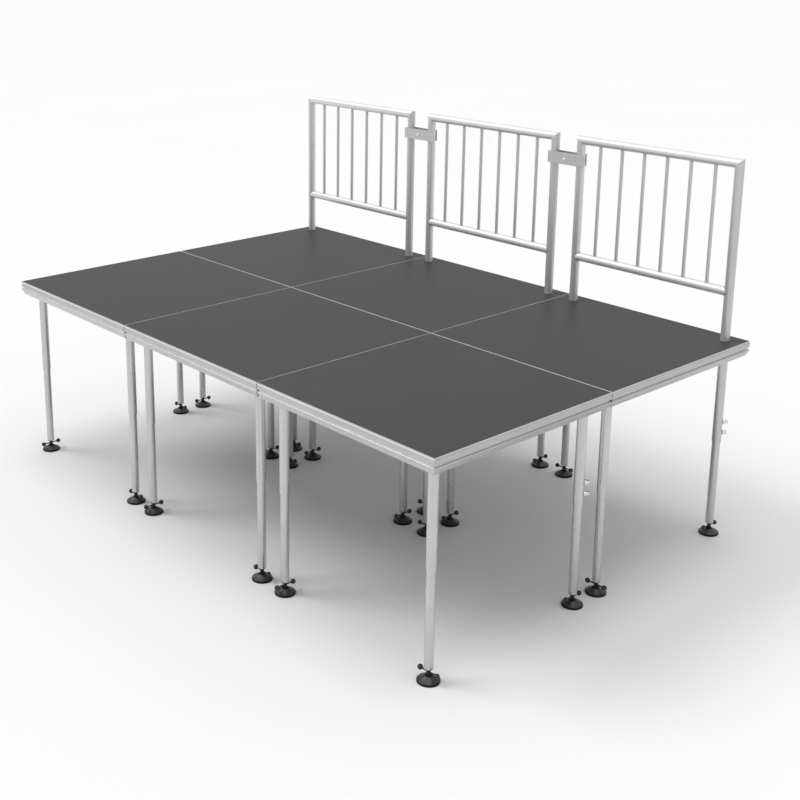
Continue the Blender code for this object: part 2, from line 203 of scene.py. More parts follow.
def drawn_aluminium(name, along, tone=0.57, sheen=0.34, metallic=0.5):
    """Extruded or drawn aluminium: faint lines run the way the metal was pulled."""
    finish = Finish(name, metallic=metallic)
    fine = [900.0, 900.0, 900.0]
    fine[along] = 6.0
    coarse = [90.0, 90.0, 90.0]
    coarse[along] = 1.5
    lines = finish.noise(1.0, 2.0, 0.6, where=finish.stretched(fine))
    streaks = finish.noise(1.0, 2.0, 0.5, where=finish.stretched(coarse))
    haze = finish.noise(5.0, 4.0, 0.6)
    rubs = finish.band(finish.noise(38.0, 5.0, 0.65), 0.60, 0.74)
    level = 0.5 * streaks + 0.5 * haze
    pale = tuple(tone * 1.07 * c for c in (0.995, 1.0, 1.008))
    darker_tone = tuple(tone * 0.93 * c for c in (1.0, 1.0, 0.998))
    clean = finish.mix(finish.band(level, 0.36, 0.64), darker_tone, pale)
    worn = finish.mix(rubs * 0.35, clean, tuple(tone * 0.82 * c for c in (1.0, 0.995, 0.985)))
    rough = sheen + 0.10 * (haze - 0.5) + 0.07 * (streaks - 0.5) + 0.10 * rubs
    surface = finish.bump(lines, 0.00002, 0.35)
    return finish.use(base_color=worn, roughness=rough, normal=surface)


def groove_aluminium():
    """Inside of the rim's groove, in painted light and shade: lighter along the stage's front and back,
    darker along its left and right ends, near-black between the decks.
    """
    finish = Finish("groove_aluminium", metallic=1.0)
    at_side = finish.outer("X")
    at_end = finish.outer("Y")
    cloud = finish.noise(40.0, 4.0, 0.6)
    patches = finish.band(cloud, 0.35, 0.65)
    # Painted light and shade: the lighter tone stands for the light the groove catches on the front and
    # back, the darker tone for its shade on the ends, and the near-black tone for the shade deep in the
    # seams between decks.
    painted_lit_tone = finish.mix(patches, (0.72, 0.725, 0.73), (0.78, 0.785, 0.79))
    darker_tone = finish.mix(patches, (0.58, 0.585, 0.59), (0.63, 0.635, 0.64))
    painted_seam_shade = finish.mix(cloud, (0.010, 0.010, 0.010), (0.022, 0.021, 0.020))
    colour = finish.mix(at_side, finish.mix(at_end, painted_seam_shade, painted_lit_tone), darker_tone)
    surface = finish.bump(cloud, 0.00005, 0.4)
    return finish.use(base_color=colour, roughness=0.30 + 0.15 * cloud, normal=surface)


def lip_aluminium():
    """Thin lip round each panel, painted lighter where two decks meet: a painted highlight for the light
    line along those seams.
    """
    finish = Finish("lip_aluminium", metallic=0.4)
    at_end = finish.outer("Y")
    cloud = finish.noise(30.0, 4.0, 0.6)
    patches = finish.band(cloud, 0.35, 0.65)
    # Painted highlight: the lighter tone on the lips between decks stands for the light the seams catch.
    wear_and_painted_highlight = finish.mix(patches, (0.72, 0.725, 0.73), (0.80, 0.805, 0.81))
    darker_tone = finish.mix(patches, (0.46, 0.46, 0.465), (0.50, 0.505, 0.51))
    surface = finish.bump(cloud, 0.00004, 0.4)
    return finish.use(
        base_color=finish.mix(at_end, wear_and_painted_highlight, darker_tone), roughness=0.28 + 0.12 * cloud, normal=surface)


def corner_painted_shade():
    """Cut corners of the rims: painted near-black where two decks meet, a painted shade for the dark holes
    there; plain aluminium tone at the stage's own corners.
    """
    finish = Finish("corner_painted_shade", metallic=0.5)
    at_side = finish.outer("X")
    at_end = finish.outer("Y")
    cloud = finish.noise(60.0, 4.0, 0.6)
    # Painted shade: near-black where the corners of two decks meet, standing for the shadowed hole between
    # them.
    painted_hole_shade = finish.mix(cloud, (0.012, 0.012, 0.012), (0.030, 0.029, 0.028))
    clean = finish.mix(cloud, (0.45, 0.45, 0.455), (0.50, 0.505, 0.51))
    colour = finish.mix(at_side * at_end, painted_hole_shade, clean)
    surface = finish.bump(cloud, 0.00004, 0.4)
    return finish.use(base_color=colour, roughness=0.40 + 0.20 * cloud, normal=surface)


def weld_metal():
    """Rippled, slightly duller bead of weld metal."""
    finish = Finish("weld_metal", metallic=1.0)
    ripples = finish.noise(700.0, 2.0, 0.5)
    patches = finish.noise(90.0, 4.0, 0.6)
    colour = finish.mix(finish.band(patches, 0.35, 0.65), (0.33, 0.33, 0.335), (0.44, 0.44, 0.445))
    surface = finish.bump(ripples, 0.0003, 0.8)
    return finish.use(base_color=colour, roughness=0.34 + 0.2 * (patches - 0.5), normal=surface)


def bright_zinc():
    """Bright zinc plating on the screws, bolts and nuts."""
    finish = Finish("bright_zinc", metallic=1.0)
    cloud = finish.noise(160.0, 4.0, 0.6)
    nicks = finish.band(finish.noise(900.0, 3.0, 0.6), 0.62, 0.72)
    colour = finish.mix(finish.band(cloud, 0.35, 0.65), (0.86, 0.865, 0.87), (0.93, 0.935, 0.94))
    marked = finish.mix(nicks * 0.4, colour, (0.50, 0.50, 0.50))
    surface = finish.bump(cloud, 0.00006, 0.4)
    return finish.use(base_color=marked, roughness=0.10 + 0.08 * cloud + 0.1 * nicks, normal=surface)


def dull_zinc():
    """Dull zinc plating on the link keys."""
    finish = Finish("dull_zinc", metallic=1.0)
    cloud = finish.noise(60.0, 5.0, 0.6)
    colour = finish.mix(finish.band(cloud, 0.35, 0.65), (0.42, 0.43, 0.44), (0.55, 0.56, 0.57))
    surface = finish.bump(cloud, 0.00008, 0.5)
    return finish.use(base_color=colour, roughness=0.35 + 0.2 * cloud, normal=surface)


def deck_film():
    """Dark film on the deck board: a fine even grain, faint scuffs and foot traffic haze."""
    finish = Finish("deck_film", specular=0.15)
    grain = finish.noise(1500.0, 2.0, 0.5)
    weave = finish.noise(420.0, 3.0, 0.5)
    traffic = finish.noise(1.7, 4.0, 0.55)
    long_scuffs = finish.noise(1.0, 4.0, 0.6, where=finish.stretched((55.0, 9.0, 9.0)))
    cross_scuffs = finish.noise(1.0, 4.0, 0.6, where=finish.stretched((8.0, 60.0, 9.0)))
    scuffs = finish.band(long_scuffs, 0.66, 0.78) + finish.band(cross_scuffs, 0.67, 0.79)
    base = finish.mix(finish.band(traffic, 0.34, 0.66), (0.046, 0.0465, 0.048), (0.052, 0.0525, 0.0535))
    fine = finish.mix(finish.band(weave, 0.40, 0.60) * 0.25, base, (0.040, 0.0405, 0.0415))
    marked = finish.mix(scuffs * 0.10, fine, (0.095, 0.096, 0.097))
    rough = 0.44 + 0.10 * (traffic - 0.5) + 0.10 * (weave - 0.5) + 0.05 * scuffs
    surface = finish.bump(grain, 0.00008, 0.5, over=finish.bump(weave, 0.00012, 0.4))
    return finish.use(base_color=marked, roughness=rough, normal=surface)


def foot_rubber(name, low, high, shine):
    """Moulded black foot: slight mould grain and patches of dust."""
    finish = Finish(name, specular=shine)
    grain = finish.noise(650.0, 3.0, 0.6)
    cloud = finish.noise(45.0, 4.0, 0.6)
    dust = finish.band(finish.noise(70.0, 5.0, 0.7), 0.52, 0.75)
    black = finish.mix(finish.band(cloud, 0.35, 0.65), (low, low, low), (high, high, high))
    dusty = finish.mix(dust * 0.18, black, (4.0 * high, 4.0 * high, 3.9 * high))
    rough = 0.36 + 0.16 * (cloud - 0.5) + 0.12 * dust
    return finish.use(base_color=dusty, roughness=rough, normal=finish.bump(grain, 0.0001, 0.5))


def black_steel():
    """Blackened steel of the spindle and its handle."""
    finish = Finish("black_steel", metallic=0.6)
    cloud = finish.noise(120.0, 4.0, 0.6)
    worn = finish.band(finish.noise(260.0, 4.0, 0.65), 0.62, 0.76)
    black = finish.mix(cloud, (0.020, 0.020, 0.022), (0.038, 0.037, 0.036))
    wear_and_painted_highlight = finish.mix(worn * 0.35, black, (0.16, 0.155, 0.15))
    surface = finish.bump(cloud, 0.0001, 0.4)
    return finish.use(base_color=wear_and_painted_highlight, roughness=0.34 + 0.12 * cloud, normal=surface)


def ball_plastic():
    """Glossy black plastic of the handle's balls."""
    finish = Finish("ball_plastic", specular=0.5)
    cloud = finish.noise(90.0, 3.0, 0.5)
    marks = finish.band(finish.noise(420.0, 4.0, 0.6), 0.64, 0.74)
    colour = finish.mix(cloud, (0.014, 0.014, 0.015), (0.024, 0.024, 0.025))
    return finish.use(base_color=colour, roughness=0.22 + 0.08 * cloud + 0.15 * marks,
                      normal=finish.bump(cloud, 0.00006, 0.4))


def plug_plastic():
    """Matt black plastic of the tubes' end plugs."""
    finish = Finish("plug_plastic", specular=0.4)
    grain = finish.noise(500.0, 3.0, 0.6)
    colour = finish.mix(grain, (0.022, 0.022, 0.023), (0.032, 0.032, 0.033))
    return finish.use(base_color=colour, roughness=0.5 + 0.1 * grain, normal=finish.bump(grain, 0.0001, 0.5))


def floor_paint():
    """Pale studio floor."""
    finish = Finish("studio_floor", specular=0.12)
    cloud = finish.noise(0.5, 2.0, 0.5)
    colour = finish.mix(cloud, (0.80, 0.80, 0.80), (0.82, 0.82, 0.82))
    return finish.use(base_color=colour, roughness=0.55)


METAL_X = drawn_aluminium("aluminium_along_x", 0)
METAL_Y = drawn_aluminium("aluminium_along_y", 1)
METAL_Z = drawn_aluminium("aluminium_along_z", 2)
RIM_X = drawn_aluminium("rim_aluminium_along_x", 0, tone=0.475)
RIM_Y = drawn_aluminium("rim_aluminium_along_y", 1, tone=0.475)
LEG_METAL = drawn_aluminium("leg_aluminium", 2, tone=0.56, sheen=0.26, metallic=0.8)
# Painted highlight: a brighter copy of the aluminium, standing for the overhead light on the rails' tops and
# on the slope under the rim's lip.
PAINTED_LIGHT_METAL = drawn_aluminium("rail_aluminium_painted_light", 0, tone=0.74, sheen=0.40, metallic=0.4)
GROOVE = groove_aluminium()
LIP = lip_aluminium()
CORNER = corner_painted_shade()
WELD = weld_metal()
ZINC = bright_zinc()
KEY_ZINC = dull_zinc()
DECK_FILM = deck_film()
FOOT = foot_rubber("foot_rubber", 0.034, 0.046, 0.5)
FOOT_RIM = foot_rubber("foot_rim_rubber", 0.005, 0.008, 0.15)
SPINDLE = black_steel()
BALL_BLACK = ball_plastic()
PLUG = plug_plastic()


# Modelling helpers

def soften(bm, width, steps=2, angle=30.0):
    """Rounds every edge whose faces meet more sharply than the angle."""
    limit = math.radians(angle)
    sharp = [edge for edge in bm.edges if len(edge.link_faces) == 2 and edge.calc_face_angle() > limit]
    bmesh.ops.bevel(
        bm,
        geom=sharp,
        offset=width,
        offset_type="OFFSET",
        segments=steps,
        profile=0.5,
        affect="EDGES",
        clamp_overlap=True,
        material=-1,
    )


def wire(bm, points, closed=False):
    """Vertices joined by edges in order, to be turned into a surface."""
    corners = [bm.verts.new(point) for point in points]
    edges = [bm.edges.new(pair) for pair in zip(corners, corners[1:])]
    if closed:
        edges.append(bm.edges.new((corners[-1], corners[0])))
    return corners + edges


def turned(profile, sides=48, closed=False):
    """A shape turned about Z from (radius, height) points."""
    bm = bmesh.new()
    geometry = wire(bm, [(radius, 0.0, height) for radius, height in profile], closed)
    bmesh.ops.spin(
        bm,
        geom=geometry,
        axis=(0.0, 0.0, 1.0),
        cent=(0.0, 0.0, 0.0),
        angle=math.tau,
        steps=sides,
        use_merge=True,
    )
    bmesh.ops.remove_doubles(bm, verts=bm.verts[:], dist=0.000001)
    bmesh.ops.recalc_face_normals(bm, faces=bm.faces[:])
    return bm


def block(size, centre):
    bm = bmesh.new()
    bmesh.ops.create_cube(bm, size=1.0, matrix=Matrix.Translation(centre) @ Matrix.Diagonal((*size, 1.0)))
    return bm


def prism(sides, radius, low, high):
    bm = bmesh.new()
    bmesh.ops.create_cone(
        bm,
        cap_ends=True,
        segments=sides,
        radius1=radius,
        radius2=radius,
        depth=high - low,
        matrix=Matrix.Translation((0.0, 0.0, (low + high) / 2)),
    )
    return bm


def moved(bm, matrix):
    bmesh.ops.transform(bm, matrix=matrix, verts=bm.verts[:])
    return bm


def shift(x=0.0, y=0.0, z=0.0):
    return Matrix.Translation((x, y, z))


def turn(degrees, axis="Z"):
    return Matrix.Rotation(math.radians(degrees), 4, axis)


def gather(parts):
    """Several shapes in one mesh. A part is a bmesh and its material index; None keeps its own."""
    whole = bmesh.new()
    for part, slot in parts:
        if slot is not None:
            for face in part.faces:
                face.material_index = slot
        mesh = bpy.data.meshes.new("part")
        part.to_mesh(mesh)
        part.free()
        whole.from_mesh(mesh)
        bpy.data.meshes.remove(mesh)
    return whole


def keep_shape(bm, materials):
    """Ends a shape: the mesh is stored once and copied to each of its places."""
    mesh = bpy.data.meshes.new("shape")
    bm.to_mesh(mesh)
    bm.free()
    for material in materials:
        mesh.materials.append(material)
    mesh.shade_smooth()
    mesh.set_sharp_from_angle(angle=math.radians(13))
    return mesh


def set_piece(name, shape, matrix, body, stands_for):
    """Places a copy of a shape: it rides on a body and stands for the named CAD nodes."""
    mesh = shape.copy()
    mesh.name = name
    mesh.transform(matrix)
    piece = bpy.data.objects.new(name, mesh)
    bpy.context.scene.collection.objects.link(piece)
    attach(piece, body)
    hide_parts(*stands_for)


# Deck rim

# Its outline is measured from the outer side (depth) and from the top of the panel (drop)
RIM_WALL = 0.0030
RIM_DROP = 0.0840
FLANGE_DEPTH = 0.0400
SHELF_DROP = 0.0213
LIP_DEPTH = 0.0024
LIP_RISE = 0.0004
LAP_DEPTH = 0.0036
LAP_RISE = 0.0001
SLOPE_TOP = 0.0052
SLOPE_END = 0.0102
GROOVE_DEPTH = 0.0090
GROOVE_TOP = 0.0350
GROOVE_END = 0.0480
BEVEL_TOP = 0.0530
BEVEL_DEPTH = 0.0160
CORNER_CUT = 0.0020
HAIRLINE = 0.00008
RIM_FINISHES = [RIM_X, RIM_Y, GROOVE, METAL_X, LIP, PAINTED_LIGHT_METAL, METAL_Y, CORNER]


def rim_section():
    """Outline of the rim: down its outer side, then back up its inside and over the panel's edge."""
    return [
        (LIP_DEPTH, -LIP_RISE),
        (LIP_DEPTH, SLOPE_TOP),
        (0.0, SLOPE_END),
        (0.0, GROOVE_TOP),
        (GROOVE_DEPTH, GROOVE_TOP + 0.0020),
        (GROOVE_DEPTH, GROOVE_END - 0.0050),
        (0.0, GROOVE_END),
        (0.0, BEVEL_TOP),
        (BEVEL_DEPTH, RIM_DROP),
        (FLANGE_DEPTH, RIM_DROP),
        (FLANGE_DEPTH, RIM_DROP - RIM_WALL),
        (BEVEL_DEPTH + 0.0018, RIM_DROP - RIM_WALL),
        (RIM_WALL, BEVEL_TOP - 0.0007),
        (RIM_WALL, GROOVE_END + 0.0018),
        (GROOVE_DEPTH + RIM_WALL, GROOVE_END - 0.0032),
        (GROOVE_DEPTH + RIM_WALL, GROOVE_TOP - 0.0004),
        (RIM_WALL, GROOVE_TOP - 0.0024),
        (RIM_WALL, SHELF_DROP + RIM_WALL),
        (FLANGE_DEPTH, SHELF_DROP + RIM_WALL),
        (FLANGE_DEPTH, SHELF_DROP),
        (RIM_WALL, SHELF_DROP),
        (RIM_WALL, -LAP_RISE),
        (LAP_DEPTH, -LAP_RISE),
        (LAP_DEPTH, -LIP_RISE),
    ]


def rim_finish(middle, along_x):
    """The finish of a rim's face from its centre, with the outer side toward -Y."""
    depth = middle.y + DECK_SIDE / 2
    drop = -middle.z
    # The groove finish paints light and shade into the groove; the lip finish paints a highlight at the
    # seams between decks.
    if 0.0 < depth < GROOVE_DEPTH + 0.0015 and GROOVE_TOP + 0.0002 < drop < GROOVE_END - 0.0002:
        return GROOVE
    if depth < LAP_DEPTH + 0.0001 and drop < SLOPE_TOP - 0.0002:
        return LIP if along_x else METAL_Y
    # Painted light: on the bars along X the bevelled foot takes the lighter plain aluminium, standing for
    # the light it catches; on the bars along Y it keeps the darker rim tone.
    if along_x and depth < BEVEL_DEPTH + 0.0005 and drop > BEVEL_TOP + 0.0001:
        return METAL_X
    # Painted highlight: on the bars along X the slope under the lip takes the brighter aluminium, standing
    # for the light line it catches.
    if along_x and depth < LIP_DEPTH and drop < SLOPE_END - 0.0001:
        return PAINTED_LIGHT_METAL
    return RIM_X if along_x else RIM_Y


def rim_bars():
    """Four mitred bars, with a hairline between them and a small cut at each corner."""
    half = DECK_SIDE / 2
    parts = []
    for quarter in range(4):
        bm = bmesh.new()
        start = [
            bm.verts.new((-(half - depth) + HAIRLINE, -(half - depth), -drop))
            for depth, drop in rim_section()
        ]
        end_face = bm.faces.new(start)
        grown = bmesh.ops.extrude_face_region(bm, geom=[end_face])
        for item in grown["geom"]:
            if isinstance(item, bmesh.types.BMVert):
                item.co.x = -item.co.x
        bmesh.ops.recalc_face_normals(bm, faces=bm.faces[:])
        long_edges = [
            edge for edge in bm.edges
            if abs(edge.verts[0].co.x - edge.verts[1].co.x) > half and edge.calc_face_angle() > 0.2
            and not (edge.verts[0].co.z > -0.0005 and edge.verts[0].co.y > LIP_DEPTH + 0.0001 - half)
        ]
        bmesh.ops.bevel(
            bm, geom=long_edges, offset=0.0005, offset_type="OFFSET", segments=2,
            profile=0.5, affect="EDGES", clamp_overlap=True, material=-1,
        )
        for side in (-1, 1):
            bmesh.ops.bisect_plane(
                bm, geom=bm.verts[:] + bm.edges[:] + bm.faces[:], dist=0.000001,
                plane_co=(side * (half - CORNER_CUT), -half, 0.0), plane_no=(side, -1.0, 0.0),
                clear_outer=True,
            )
        open_edges = [edge for edge in bm.edges if edge.is_boundary]
        cuts = bmesh.ops.holes_fill(bm, edges=open_edges, sides=0)["faces"]
        bmesh.ops.recalc_face_normals(bm, faces=bm.faces[:])
        for face in bm.faces:
            chosen = rim_finish(face.calc_center_median(), quarter % 2 == 0)
            face.material_index = RIM_FINISHES.index(chosen)
        for face in cuts:
            face.material_index = RIM_FINISHES.index(CORNER)
        parts.append((moved(bm, turn(90 * quarter)), None))
    return keep_shape(gather(parts), RIM_FINISHES)


def corner_socket():
    """Two gusset plates welded to the leg tube; the rim lies toward -X and -Y."""
    near = DECK_SIDE / 2 - LEG_OFFSET - GUSSET_RIM_GAP
    span = near + GUSSET_REACH
    middle = (GUSSET_REACH - near) / 2
    parts = []
    for top in GUSSET_TOPS:
        size = (span, span, GUSSET_THICKNESS)
        centre = (middle, middle, top - GUSSET_THICKNESS / 2)
        plate = block(size, centre)
        inner_corner = [
            edge for edge in plate.edges
            if all(vertex.co.x > 0.0 and vertex.co.y > 0.0 for vertex in edge.verts)
        ]
        bmesh.ops.bevel(
            plate, geom=inner_corner, offset=0.020, offset_type="OFFSET", segments=6,
            profile=0.5, affect="EDGES", clamp_overlap=True, material=-1,
        )
        soften(plate, 0.0006)
        parts.append((plate, 0))
    for height in SOCKET_WELDS:
        parts.append((weld_ring(TUBE, 0.0022, height), 1))
    return keep_shape(gather(parts), [METAL_Y, WELD])


def weld_ring(radius, size, height):
    """A rippled fillet of weld round a tube."""
    bm = bmesh.new()
    bmesh.ops.create_circle(
        bm, cap_ends=False, segments=8, radius=size,
        matrix=shift(x=radius + size * 0.25) @ turn(90, "X"),
    )
    bmesh.ops.spin(
        bm, geom=bm.verts[:] + bm.edges[:], axis=(0.0, 0.0, 1.0), cent=(0.0, 0.0, 0.0),
        angle=math.tau, steps=96, use_merge=True,
    )
    bmesh.ops.remove_doubles(bm, verts=bm.verts[:], dist=0.000001)
    for vertex in bm.verts:
        bearing = math.atan2(vertex.co.y, vertex.co.x)
        swell = 1.0 + 0.0035 * math.sin(32 * bearing)
        vertex.co.x *= swell
        vertex.co.y *= swell
    bmesh.ops.recalc_face_normals(bm, faces=bm.faces[:])
    return moved(bm, shift(z=height))


def upper_tube():
    """Open tube under each corner, its lower mouth eased by a file."""
    ease = 0.0007
    profile = [
        (TUBE, UPPER_TUBE_TOP),
        (TUBE, UPPER_TUBE_END + ease),
        (TUBE - 0.3 * ease, UPPER_TUBE_END + 0.3 * ease),
        (TUBE - ease, UPPER_TUBE_END),
        (TUBE_BORE + 0.5 * ease, UPPER_TUBE_END),
        (TUBE_BORE, UPPER_TUBE_END + 0.5 * ease),
        (TUBE_BORE, UPPER_TUBE_TOP),
    ]
    return keep_shape(turned(profile, 64, closed=True), [LEG_METAL])


def clamp_screws():
    """Two plated hexagon screws in welded bosses; they point along +X from the tube's axis."""
    parts = []
    for rise in SCREW_RISES:
        boss = turned([
            (0.0, 0.0230), (SCREW_BOSS, 0.0230), (SCREW_BOSS, 0.0338), (0.0126, 0.0343),
            (0.0118, 0.0346), (0.0, 0.0346)], 48)
        washer = turned([
            (0.0, 0.0345), (0.0122, 0.0345), (0.0125, 0.0350), (0.0122, 0.0361), (0.0, 0.0361)], 48)
        head = prism(6, 0.0118, 0.0360, 0.0500)
        soften(head, 0.0007, 3)
        crown = turned([
            (0.0, 0.0490), (0.0102, 0.0490), (0.0102, 0.0502), (0.0094, 0.0510), (0.0082, 0.0514),
            (0.0060, 0.0514), (0.0056, 0.0508), (0.0, 0.0508)], 48)
        bead = weld_ring(SCREW_BOSS, 0.0014, 0.0258)
        place = shift(z=UPPER_TUBE_END + rise) @ turn(90, "Y")
        for piece, slot in ((boss, 0), (washer, 0), (head, 0), (crown, 0), (bead, 1)):
            parts.append((moved(piece, place), slot))
    return keep_shape(gather(parts), [ZINC, WELD])


# Lower leg

def inner_tube():
    """Tube that telescopes in the upper one, both ends eased by a file."""
    ease = 0.0005
    bottom = PLUG_BOTTOM + PLUG_FLANGE
    profile = [
        (INNER_TUBE - ease, LEG_TOP),
        (INNER_TUBE, LEG_TOP - ease),
        (INNER_TUBE, bottom + ease),
        (INNER_TUBE - ease, bottom),
        (INNER_BORE + ease, bottom),
        (INNER_BORE, bottom + ease),
        (INNER_BORE, LEG_TOP - ease),
        (INNER_BORE + ease, LEG_TOP),
    ]
    return keep_shape(turned(profile, 64, closed=True), [LEG_METAL])


def end_plug():
    """Plastic plug with a flange under the tube's end and two ribs inside it."""
    profile = [
        (0.0, 0.0900),
        (0.0188, 0.0900),
        (PLUG_RIB, 0.0890),
        (PLUG_RIB, 0.0845),
        (0.0185, 0.0840),
        (0.0185, 0.0800),
        (PLUG_RIB, 0.0795),
        (PLUG_RIB, 0.0668),
        (INNER_TUBE - 0.0004, 0.0665),
        (INNER_TUBE - 0.0002, 0.0655),
        (INNER_TUBE - 0.0010, PLUG_BOTTOM + 0.0004),
        (PLUG_RIB, PLUG_BOTTOM),
        (0.0, PLUG_BOTTOM),
    ]
    return keep_shape(turned(profile, 48), [PLUG])


def spindle():
    """Threaded levelling spindle with a plain collar where it meets the foot."""
    crest = 0.0100
    root = 0.0088
    pitch = 0.0025
    height = 0.0650
    profile = [(0.0, height)]
    while height > 0.0520:
        profile.append((crest, height))
        profile.append((root, height - pitch / 2))
        height -= pitch
    profile += [
        (crest, 0.0510),
        (crest, 0.0372),
        (0.0096, 0.0366),
        (0.0, 0.0366),
    ]
    return keep_shape(turned(profile, 48), [SPINDLE])


def foot_disc():
    """Round foot: flat sole, upright rim, straight cone and a boss for the spindle."""
    profile = [
        (0.0, 0.0367),
        (0.0130, 0.0367),
        (0.0144, 0.0363),
        (0.0150, 0.0354),
        (0.0154, 0.0332),
        (0.0162, 0.0318),
        (0.0200, 0.0292),
        (0.0492, 0.0128),
        (0.0516, 0.0120),
        (0.0524, 0.0113),
        (0.0528, 0.0102),
        (0.0532, 0.0088),
        (0.0544, 0.0084),
        (0.0550, 0.0076),
        (0.0550, 0.0008),
        (0.0547, 0.0002),
        (0.0540, 0.0),
        (0.0, 0.0),
    ]
    disc = turned(profile, 72)
    for face in disc.faces:
        middle = face.calc_center_median()
        face.material_index = 0 if 0.0190 < math.hypot(middle.x, middle.y) < 0.0520 else 1
    return keep_shape(disc, [FOOT, FOOT_RIM])


def handle_bar():
    """Cross bar with a ball at each end, along X."""
    bar = turned([
        (0.0, -HANDLE_HALF), (HANDLE_RADIUS, -HANDLE_HALF), (HANDLE_RADIUS, HANDLE_HALF),
        (0.0, HANDLE_HALF)], 32)
    parts = [(moved(bar, shift(z=HANDLE_HEIGHT) @ turn(90, "Y")), 0)]
    for side in (-1, 1):
        ball = bmesh.new()
        bmesh.ops.create_uvsphere(ball, u_segments=40, v_segments=24, radius=BALL)
        place = shift(x=side * BALL_OFFSET, z=HANDLE_HEIGHT) @ turn(90, "Y")
        parts.append((moved(ball, place), 1))
        collar = turned([(0.0034, 0.0382), (0.0064, 0.0396), (0.0064, 0.0430), (0.0034, 0.0430)], 32)
        parts.append((moved(collar, shift(z=HANDLE_HEIGHT) @ turn(90 * side, "Y")), 1))
    return keep_shape(gather(parts), [SPINDLE, BALL_BLACK])


# Guardrail

def rail_loop():
    """Two posts and the top rail: one tube with mitred corners."""
    bm = bmesh.new()
    path = [
        Vector((-LEG_OFFSET, 0.0, 0.0003)),
        Vector((-LEG_OFFSET, 0.0, TOP_RAIL)),
        Vector((LEG_OFFSET, 0.0, TOP_RAIL)),
        Vector((LEG_OFFSET, 0.0, 0.0003)),
    ]
    bmesh.ops.create_circle(bm, cap_ends=True, segments=64, radius=TUBE, matrix=Matrix.Translation(path[0]))
    bm.faces.ensure_lookup_table()
    cap = bm.faces[0]
    runs = [(after - before).normalized() for before, after in zip(path, path[1:])]
    for index, run in enumerate(runs):
        after = runs[min(index + 1, len(runs) - 1)]
        mitre = (run + after).normalized()
        cap = bmesh.ops.extrude_discrete_faces(bm, faces=[cap])["faces"][0]
        for vertex in cap.verts:
            vertex.co += run * ((path[index + 1] - vertex.co).dot(mitre) / run.dot(mitre))
    bmesh.ops.holes_fill(bm, edges=bm.edges[:], sides=0)
    bmesh.ops.recalc_face_normals(bm, faces=bm.faces[:])
    rims = [edge for edge in bm.edges if all(vertex.co.z < 0.01 for vertex in edge.verts)]
    bmesh.ops.bevel(
        bm, geom=rims, offset=0.0006, offset_type="OFFSET", segments=2,
        profile=0.5, affect="EDGES", clamp_overlap=True, material=-1,
    )
    # The top rail takes slot 1, the brighter aluminium with its painted highlight; the posts take slot 0.
    for face in bm.faces:
        face.material_index = 0 if abs(face.calc_center_median().x) > LEG_OFFSET - 0.02 else 1
    return bm


def rail_frame():
    """Posts, rails and balusters, welded together."""
    lower = turned([(TUBE, -LEG_OFFSET), (TUBE, LEG_OFFSET)], 64)
    parts = [(rail_loop(), None), (moved(lower, shift(z=LOWER_RAIL) @ turn(90, "Y")), 1)]
    low = LOWER_RAIL + TUBE - 0.002
    high = TOP_RAIL - TUBE + 0.002
    for index in range(BALUSTERS):
        x = (index - (BALUSTERS - 1) / 2) * BALUSTER_SPACING
        baluster = turned([(BALUSTER, high), (BALUSTER, low)], 40)
        parts.append((moved(baluster, shift(x=x)), 0))
        parts.append((moved(saddle_weld(BALUSTER, 0.0016, 1), shift(x=x, z=LOWER_RAIL)), 2))
        parts.append((moved(saddle_weld(BALUSTER, 0.0016, -1), shift(x=x, z=TOP_RAIL)), 2))
    for side in (-1, 1):
        spigot = turned([
            (0.0197, 0.0005 - SPIGOT_LENGTH), (INNER_TUBE - 0.0006, -SPIGOT_LENGTH),
            (INNER_TUBE, 0.0006 - SPIGOT_LENGTH), (INNER_TUBE, 0.0010), (0.0197, 0.0010)], 64, closed=True)
        parts.append((moved(spigot, shift(x=side * LEG_OFFSET)), 0))
        parts.append((moved(tee_weld(side), shift(x=side * LEG_OFFSET, z=LOWER_RAIL)), 2))
    # Slot 1 paints the rails lighter than the posts: a painted highlight.
    return keep_shape(gather(parts), [METAL_Z, PAINTED_LIGHT_METAL, WELD])


def saddle_weld(radius, size, side):
    """A bead where a thin round bar meets a tube that lies along X, above (1) or below (-1) it."""
    bm = weld_ring(radius, size, 0.0)
    for vertex in bm.verts:
        y = max(-TUBE, min(TUBE, vertex.co.y))
        vertex.co.z = side * (math.sqrt(TUBE ** 2 - y ** 2) + vertex.co.z * side)
    bmesh.ops.recalc_face_normals(bm, faces=bm.faces[:])
    return bm


def tee_weld(side):
    """A bead where the lower rail meets a post of the same diameter."""
    bm = weld_ring(TUBE, 0.0020, 0.0)
    moved(bm, turn(90, "Y"))
    for vertex in bm.verts:
        vertex.co.x += -side * abs(vertex.co.z)
    bmesh.ops.recalc_face_normals(bm, faces=bm.faces[:])
    return bm


# Guardrail clamp

def clamp_plate(left, right, face, outward):
    """Flat bar with softened edges; face is the Y of the side toward the posts."""
    far = face + outward * PLATE_THICKNESS
    size = (left + right, PLATE_THICKNESS, PLATE_HEIGHT)
    plate = block(size, ((right - left) / 2, (face + far) / 2, 0.0))
    ends = [edge for edge in plate.edges if abs(edge.verts[0].co.y - edge.verts[1].co.y) > 0.004]
    bmesh.ops.bevel(
        plate, geom=ends, offset=0.0015, offset_type="OFFSET", segments=4,
        profile=0.5, affect="EDGES", clamp_overlap=True, material=-1,
    )
    soften(plate, 0.0004, 2, 50.0)
    return keep_shape(plate, [METAL_X])


